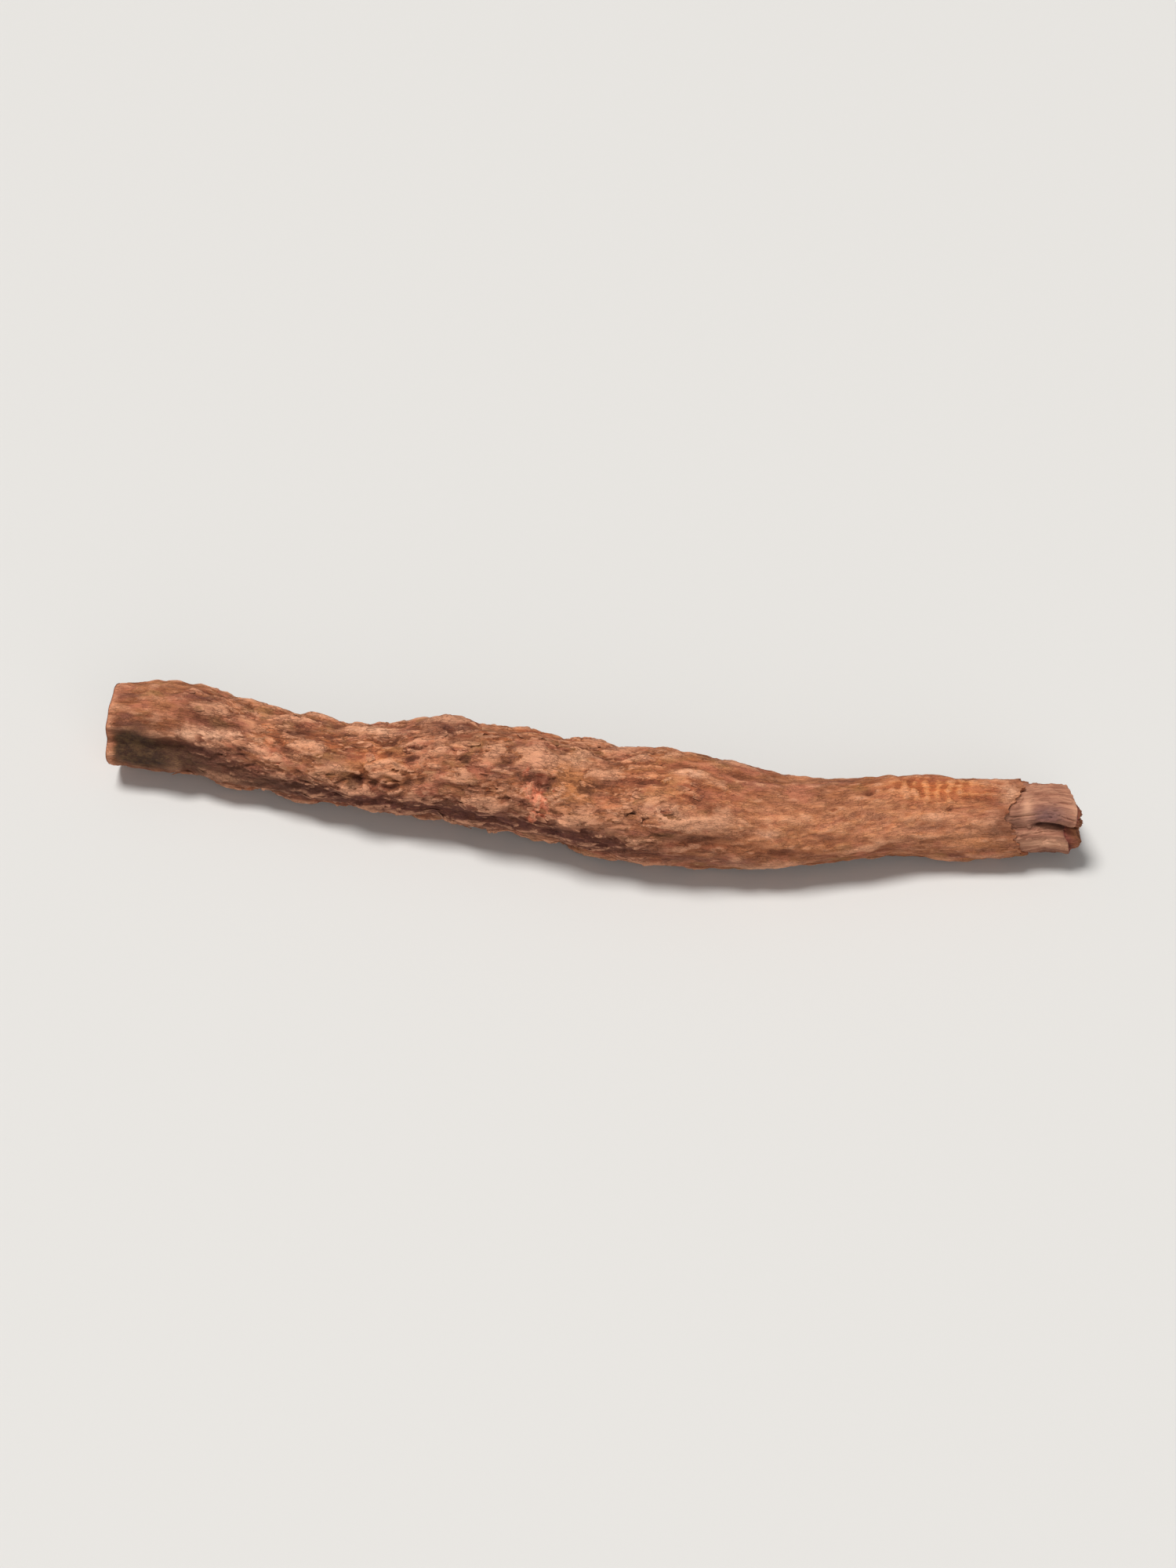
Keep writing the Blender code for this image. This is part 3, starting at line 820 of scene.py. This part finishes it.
def scale_points(piece, place, other, half_length, half_width, lift, way):
    """Where each point of a unit disc goes to make a scale at a place along X and an angle, and how strong the
    painted highlight along its free edge is.
    """
    points = np.array([vert.co for vert in piece.data.vertices])
    share = np.minimum(1.0, np.hypot(points[:, 0], points[:, 1]))
    edges = [noise.noise(Vector((2 * point[0], 2 * point[1], place + other))) for point in points]
    ragged = 1.0 + SCALE_RAGGED * np.array(edges)
    x = place + half_length * ragged * points[:, 0]
    middle = float(form_at(np.array(place), np.array(other)))
    angle = other - half_width * ragged * points[:, 1] / middle
    steps = np.array((-1.0, 0.0, 1.0)) * half_length
    rises = [bark_rise(place + step, other, middle)[0] for step in steps]
    free = (1.0 + way * points[:, 0]) / 2
    height = np.interp(x - place, steps, rises) + (lift + SCALE_SUNK) * free**1.5 - SCALE_SUNK
    height += 0.5 * SCALE_THICKNESS * np.sign(points[:, 2]) * (1.0 - SCALE_THINNING * share**2)
    return x, angle, form_at(x, angle) + height, SCALE_EDGE_HIGHLIGHT * share * free


bpy.ops.object.select_all(action="DESELECT")
bpy.ops.mesh.primitive_cylinder_add(vertices=SCALE_SIDES, radius=1, depth=1, end_fill_type="TRIFAN")
blank = bpy.context.object
draw = np.random.default_rng(SCALE_SEED)
made_scales = []
for _ in range(SCALES):
    place, other = draw.uniform(SCALES_FROM, SCALES_TO), draw.uniform(0.0, TURN)
    half_length, half_width = draw.uniform(*SCALE_HALF_LENGTHS), draw.uniform(*SCALE_HALF_WIDTHS)
    lift, way, tint = draw.uniform(*SCALE_LIFTS), draw.choice((-1.0, 1.0)), draw.uniform(0.1, 1.0)
    reach = float(form_at(np.array(place), np.array(other)))
    if line_at(place)[1] + reach * math.sin(other) < LOWEST_SCALE:
        continue
    away = [math.hypot(place - bare, arc_between(turned, other, reach)) for bare, turned in BARE_PLACES]
    if min(away) < BARE_AROUND:
        continue
    bpy.ops.object.select_all(action="DESELECT")
    blank.select_set(True)
    bpy.context.view_layer.objects.active = blank
    bpy.ops.object.duplicate()
    scale = bpy.context.object
    x, angle, radius, edge_highlight = scale_points(scale, place, other, half_length, half_width, lift, way)
    lay_down(scale, x, angle, radius)
    store_grain(scale, x, angle, radius)
    store(scale, "plate_shade", np.full_like(x, tint))
    store(scale, "scaly", np.ones_like(x))
    # Painted highlight along each scale's free edge, read as a ridge by the finish
    store(scale, "fine_rise", edge_highlight)
    # The marks of the bark under them: stains, and painted shade
    store(scale, "purple", stain_and_painted_light(PURPLE_AND_SHADE_MARKS, x, angle))
    store(scale, "painted_shade", stain_and_painted_light(PAINTED_SHADE_MARKS, x, angle))
    store(scale, "mossy", stain_and_painted_light(MOSSY_MARKS, x, angle))
    store(scale, "rust", stain_and_painted_light(RUST_AND_SHADE_MARKS, x, angle))
    made_scales.append(scale)
bpy.data.objects.remove(blank)
bpy.ops.object.select_all(action="DESELECT")
for scale in made_scales:
    scale.select_set(True)
bpy.context.view_layer.objects.active = made_scales[0]
bpy.ops.object.join()
scales = bpy.context.object
scales.name = "loose_scales"
scales.data.name = "loose_scales"
smooth_piece(scales, 60)
scales.data.materials.append(dry_bark)
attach(scales, "root")
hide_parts("manjistha_root")

# The peeled wood at the right end
# It is the root's core, bared where the bark has torn off: fibrous, split along the grain and snapped.
# It runs on a little way under the bark, and its broken face shows the pores and the shrunken pith.

WOOD_SIDES = 288
WOOD_CUTS = (11, 13)
WOOD_RINGS = 58
WOOD_FROM = 33.5
UNDER_BARK = 0.5
WOOD_ROUNDING, WOOD_ROUNDING_LENGTH = 0.15, 0.3

# Its relief: lengths and widths, then heights
FIBRE_SIZE, SPLIT_SIZE, SCRAP_SIZE, FUZZ_SIZE = (5.0, 0.42), (9.0, 1.1), (2.6, 1.3), (0.8, 0.3)
FIBRE_HEIGHT, SPLIT_DEPTH, SCRAP_HEIGHT, FUZZ_HEIGHT = 0.08, 0.10, 0.12, 0.04

# The split that runs in from the broken end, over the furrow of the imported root
SLOT_ENDS, SLOT_ANGLES = (39.5, 47.0), (147.0, 172.0)
SLOT_WIDTH, SLOT_DEPTH = 0.24, 0.55


def wood_rise(x, angle, radius):
    """Fibres and splits along the grain of the bared wood, and the papery scraps left on it."""
    fibres = abs(noise.noise(on_skin(x, angle, radius, *FIBRE_SIZE, 21)))
    splits = noise.noise(on_skin(x, angle, radius, *SPLIT_SIZE, 22))
    scraps = noise.fractal(on_skin(x, angle, radius, *SCRAP_SIZE, 23), 0.7, 2.0, 3)
    rise = FIBRE_HEIGHT * (min(1.0, 3.0 * fibres) - 0.7)
    rise -= SPLIT_DEPTH * (1.0 - ease(abs(splits), 0.0, 0.08))
    rise += SCRAP_HEIGHT * ease(scraps, 0.05, 0.20)
    slot = arc_between(angle, np.interp(x, SLOT_ENDS, SLOT_ANGLES), radius) / SLOT_WIDTH
    rise -= SLOT_DEPTH * bell(slot) * ease(x, SLOT_ENDS[0] + 0.3, SLOT_ENDS[0] + 1.8)
    return rise + FUZZ_HEIGHT * noise.fractal(on_skin(x, angle, radius, *FUZZ_SIZE, 24), 0.6, 2.0, 3)


PORE_SPACING, PORE_RADIUS, PORE_DEPTH = 0.36, 0.30, 0.22

# Radial splits: angle, share of the radius where one starts and ends, depth
RAYS = (
    (34.0, 0.28, 0.95, 0.6),
    (128.0, 0.15, 0.8, 0.5),
    (151.0, 0.3, 1.0, 0.8),
    (247.0, 0.2, 0.9, 0.6),
    (305.0, 0.35, 0.85, 0.4),
)
RAY_WIDTH = 0.07
PITH_SHARE, PITH_DEPTH = 0.17, 0.5
CRUMB_SIZE, CRUMB_HEIGHT = 0.75, 0.20


def face_depth(share, angle, radius, layer, roughness):
    """How far a cut or broken face of the wood is sunk at a point: pores, radial splits, crumbs and pith."""
    back, up = share * radius * math.cos(angle), share * radius * math.sin(angle)
    place = Vector((back, up, LAYER_STEP * layer))
    distances, points = noise.voronoi(place / PORE_SPACING)
    size = PORE_RADIUS * (0.75 + 0.5 * noise.cell(5.1 * points[0]))
    depth = PORE_DEPTH * (1.0 - ease(distances[0], 0.5 * size, max(0.05, size))) * ease(share, 0.12, 0.3)
    for other, first, last, deep in RAYS:
        away = abs(arc_between(angle, other + 6.0 * math.sin(9.0 * share), share * radius))
        inside = ease(share, first, first + 0.1) * (1.0 - ease(share, last, last + 0.1))
        depth += deep * inside * bell(away / RAY_WIDTH)
    radial = Vector((9.0 * math.cos(angle), 9.0 * math.sin(angle), 1.4 * share + LAYER_STEP * layer))
    depth += 0.10 * roughness * (1.0 - min(1.0, 3.0 * abs(noise.noise(radial))))
    depth -= roughness * CRUMB_HEIGHT * noise.fractal(place / CRUMB_SIZE, 0.6, 2.1, 4)
    wavering = share + 0.04 * noise.noise(3.0 * place)
    depth += PITH_DEPTH * (1.0 - ease(wavering, 0.6 * PITH_SHARE, PITH_SHARE))
    return depth


wood = rod("peeled_wood", WOOD_SIDES, WOOD_CUTS, tuple(1.0 - k / WOOD_RINGS for k in range(1, WOOD_RINGS)))
run, angle, share = rod_places(wood)
on_side = share == 1.0
end = face_at(right_face, np.ones_like(angle), angle)
x = WOOD_FROM + run * (end - WOOD_FROM)
cad_edges = np.array([cad_edge(a, MEAN_RADIUS) for a in angle])
form_radius = form_at(np.maximum(x, cad_edges + PAST_EDGE), angle)
covered = np.clip((cad_edges - 0.6 - x) / 0.8, 0.0, 1.0)
rise = np.array([wood_rise(*three) for three in zip(x, angle, form_radius)])
radius = form_radius + rise - UNDER_BARK * covered
radius -= WOOD_ROUNDING * (1.0 - np.sqrt(np.clip((end - x) / WOOD_ROUNDING_LENGTH, 0.0, 1.0)))
rim_radius = form_at(end, angle) - WOOD_ROUNDING
cap = (~on_side) & (run > 0.5)
sunk = np.array([face_depth(s, a, r, 3, 1.0) for s, a, r in zip(share, angle, rim_radius)])
sunk *= np.clip((1.0 - share) / 0.05, 0.0, 1.0)
x = np.where(cap, face_at(right_face, share, angle) - sunk, x)
radius = np.where(cap, radius * share, radius)
radius = np.where((~on_side) & (run < 0.5), radius * share, radius)
lay_down(wood, x, angle, radius)
store_grain(wood, x, angle, radius)
store(wood, "sunk", np.where(cap, sunk, 0.0))
store(wood, "share", share)
store(wood, "on_face", np.where(cap, 1.0, 0.0))
store(wood, "fine_rise", np.where(on_side, rise, 0.0))

# Marks on its side: purple stains, pale marks partly painted highlight, and painted shade; each a place along
# X, angle, half-length, half-width, strength
WOOD_PURPLE_MARKS = (
    (41.8, 136.0, 1.9, 1.3, 0.95),
    (42.0, 300.0, 3.0, 3.0, 0.7),
    (40.0, 20.0, 2.5, 2.0, 0.5),
)
# Pale marks: painted highlight on the broken end's rim and on the ledge, and pale patches of the wood
WOOD_PALE_AND_HIGHLIGHT_MARKS = (
    (44.8, 112.0, 0.9, 1.8, 0.8),
    (42.2, 187.0, 2.6, 0.8, 0.9),
    (39.9, 120.0, 0.5, 1.6, 0.7),
    (44.5, 330.0, 1.0, 2.0, 0.6),
)
# Painted shade next to the bark's edge, in the slot, on the broken end's lower corner and underneath
WOOD_PAINTED_SHADE_MARKS = (
    (38.8, 140.0, 0.8, 1.2, 0.55),
    (41.4, 153.0, 1.3, 0.3, 1.0),
    (43.6, 161.0, 1.3, 0.32, 1.0),
    (44.3, 172.0, 0.9, 0.6, 0.85),
    (43.0, 218.0, 3.0, 1.4, 0.6),
)
store(wood, "purple", stain_and_painted_light(WOOD_PURPLE_MARKS, x, angle))
store(wood, "pale", stain_and_painted_light(WOOD_PALE_AND_HIGHLIGHT_MARKS, x, angle))
store(wood, "painted_shade", stain_and_painted_light(WOOD_PAINTED_SHADE_MARKS, x, angle))
store(wood, "weathered", np.ones_like(x))
smooth_piece(wood, 60)


def wood_finish():
    """Dry madder wood: purple-brown outside and orange-red across the grain, with painted shade dark in its
    pores and splits.
    """
    material = bpy.data.materials.new("dry_wood")
    material.use_nodes = True
    tree = material.node_tree
    shader = tree.nodes["Principled BSDF"]
    shader.inputs["Roughness"].default_value = 0.82
    shader.inputs["Specular IOR Level"].default_value = 0.3
    grain = read(tree, "grain", "Vector")
    streak = cloudy(tree, stretched(tree, grain, 4.0, 0.35, 3.0), 4.0, 0.6)
    fibre = cloudy(tree, stretched(tree, grain, 1.6, 0.07, 7.0), 3.0, 0.6)
    mottle = cloudy(tree, stretched(tree, grain, 0.7, 0.5, 9.0), 5.0, 0.65)

    side = blend_colours(tree, ramp(tree, streak, 0.35, 0.65), colour(140, 90, 70), colour(178, 126, 100))
    purple = maths(tree, "MULTIPLY", read(tree, "purple"), ramp(tree, mottle, 0.2, 0.55, 0.5, 1.0))
    side = blend_colours(tree, purple, side, colour(112, 78, 74))
    # Pale marks, partly painted highlight
    side = blend_colours(tree, read(tree, "pale"), side, colour(206, 154, 124))
    # Painted shade in the splits between the fibres
    split_painted_shade = ramp(tree, read(tree, "fine_rise"), -0.10, -0.40, 0.0, 0.8)
    side = blend_colours(tree, split_painted_shade, side, colour(72, 42, 34))
    # Painted shade by the bark's edge, in the slot and underneath
    side = blend_colours(tree, read(tree, "painted_shade"), side, colour(82, 50, 40))

    share = read(tree, "share")
    fresh = blend_colours(tree, ramp(tree, mottle, 0.3, 0.68), colour(186, 96, 64), colour(224, 146, 102))
    weathered = blend_colours(tree, ramp(tree, mottle, 0.3, 0.68), colour(112, 66, 44), colour(158, 100, 68))
    face = blend_colours(tree, read(tree, "weathered"), fresh, weathered)
    face = blend_colours(tree, ramp(tree, share, 0.74, 0.98, 0.0, 0.85), face, colour(134, 66, 62))
    face = blend_colours(tree, ramp(tree, share, 0.32, 0.12, 0.0, 0.85), face, colour(84, 44, 30))
    # Painted shade deep in the pores, radial splits and pith of a cut or broken face
    face = blend_colours(tree, ramp(tree, read(tree, "sunk"), 0.05, 0.30), face, colour(62, 26, 20))
    body = blend_colours(tree, read(tree, "on_face"), side, face)
    darker, lighter = ramp(tree, fibre, 0.3, 0.55, 0.78, 1.12), ramp(tree, mottle, 0.3, 0.7, 0.94, 1.06)
    tone = maths(tree, "MULTIPLY", darker, lighter)
    toned = add(tree, "ShaderNodeCombineColor", {0: tone, 1: tone, 2: tone})[0]
    body = blend_colours(tree, 1.0, body, toned, "MULTIPLY")
    tree.links.new(body, shader.inputs["Base Color"])
    height = maths(tree, "ADD", maths(tree, "MULTIPLY", fibre, 0.03), maths(tree, "MULTIPLY", mottle, 0.06))
    sockets = {"Height": height, "Strength": 0.9, "Distance": MM}
    tree.links.new(add(tree, "ShaderNodeBump", sockets)["Normal"], shader.inputs["Normal"])
    return material


dry_wood = wood_finish()
wood.data.materials.append(dry_wood)
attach(wood, "root")
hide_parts("manjistha_root")

# The cut wood at the left end
# It is the same core where the root was cut across: a disc of porous orange-red wood in its ring of bark.

DISC_RINGS = 58
DISC_THICKNESS = 2.0
DISC_GAP = 0.05

disc = rod("cut_wood", WOOD_SIDES, (3,), tuple(1.0 - k / DISC_RINGS for k in range(1, DISC_RINGS)))
run, angle, share = rod_places(disc)
rim_radius = CUT_BARK_INNER * form_at(np.full_like(angle, LEFT_END + 1.5), angle) - DISC_GAP
cap = run < 0.001
whole_share = share * CUT_BARK_INNER
sunk = np.array([face_depth(s, a, r, 5, 0.55) for s, a, r in zip(whole_share, angle, rim_radius)])
sunk += 0.10 * (1.0 - np.sqrt(np.clip((1.0 - share) / 0.06, 0.0, 1.0)))
x = face_at(left_face, whole_share, angle) + np.where(cap, sunk, 0.0) + run * DISC_THICKNESS
lay_down(disc, x, angle, share * rim_radius)
store_grain(disc, x, angle, share * rim_radius)
store(disc, "sunk", sunk)
store(disc, "share", whole_share)
store(disc, "on_face", np.ones_like(x))
store(disc, "fine_rise", np.zeros_like(x))
for name in ("purple", "pale", "painted_shade", "weathered"):
    store(disc, name, np.zeros_like(x))
smooth_piece(disc, 60)
disc.data.materials.append(dry_wood)
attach(disc, "root")
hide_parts("manjistha_root")

# The table, the lights and the camera
# A plain pale table, lit softly from overhead and a little from the front, seen from the photograph's angle.

bpy.ops.object.select_all(action="DESELECT")
bpy.ops.mesh.primitive_plane_add(size=6.0, location=(0, 0, -0.00002))
table = bpy.context.object
table.name = "table"
pale = bpy.data.materials.new("pale_table")
pale.use_nodes = True
pale.node_tree.nodes["Principled BSDF"].inputs["Base Color"].default_value = (0.66, 0.655, 0.645, 1.0)
pale.node_tree.nodes["Principled BSDF"].inputs["Roughness"].default_value = 0.7
table.data.materials.append(pale)

# The room round the table: dim as a light, and as pale as the table where it is seen itself
ROOM_LIGHT, ROOM_SEEN = 0.22, 0.80
world = bpy.data.worlds.new("studio")
world.use_nodes = True
dim = world.node_tree.nodes["Background"]
dim.inputs["Color"].default_value = (1.0, 0.99, 0.97, 1.0)
dim.inputs["Strength"].default_value = ROOM_LIGHT
seen = world.node_tree.nodes.new("ShaderNodeBackground")
seen.inputs["Color"].default_value = (1.0, 0.99, 0.97, 1.0)
seen.inputs["Strength"].default_value = ROOM_SEEN
path = world.node_tree.nodes.new("ShaderNodeLightPath")
either = world.node_tree.nodes.new("ShaderNodeMixShader")
world.node_tree.links.new(path.outputs["Is Camera Ray"], either.inputs[0])
world.node_tree.links.new(dim.outputs[0], either.inputs[1])
world.node_tree.links.new(seen.outputs[0], either.inputs[2])
world.node_tree.links.new(either.outputs[0], world.node_tree.nodes["World Output"].inputs["Surface"])
bpy.context.scene.world = world

# Lights: name, the way to it from the root, strength, how wide it looks in degrees, colour
LIGHTS = (
    ("overhead", (-0.20, 0.02, 0.66), 2.9, 22.0, (1.0, 0.98, 0.95)),
    ("front_fill", (0.25, -0.7, 0.35), 0.85, 50.0, (1.0, 0.99, 0.97)),
)
for name, way, strength, width, tint in LIGHTS:
    lamp = bpy.data.lights.new(name, "SUN")
    lamp.energy = strength
    lamp.angle = math.radians(width)
    lamp.color = tint
    light = bpy.data.objects.new(name, lamp)
    bpy.context.scene.collection.objects.link(light)
    light.location = way
    light.rotation_euler = (-Vector(way)).to_track_quat("-Z", "Y").to_euler()

VIEW_AZIMUTH, VIEW_ELEVATION = 7.75, 45.0
LENS = 85.0
ROOT_SHARE_OF_WIDTH = 0.84
SENSOR_WIDTH_SHARE = 36.0 * 1500 / 2000
camera_data = bpy.data.cameras.new("camera")
camera_data.lens = LENS
camera_data.clip_start, camera_data.clip_end = 0.01, 10.0
camera = bpy.data.objects.new("camera", camera_data)
bpy.context.scene.collection.objects.link(camera)
bpy.context.scene.camera = camera
aim = (cad_low + cad_high) / 2
turn, rise = math.radians(VIEW_AZIMUTH), math.radians(VIEW_ELEVATION)
towards = Vector((math.sin(turn) * math.cos(rise), -math.cos(turn) * math.cos(rise), math.sin(rise)))
distance = (cad_high.x - cad_low.x) / ROOT_SHARE_OF_WIDTH * LENS / SENSOR_WIDTH_SHARE
camera.location = aim + towards * distance
camera.rotation_euler = (-towards).to_track_quat("-Z", "Y").to_euler()
bpy.context.scene.view_settings.view_transform = "Standard"
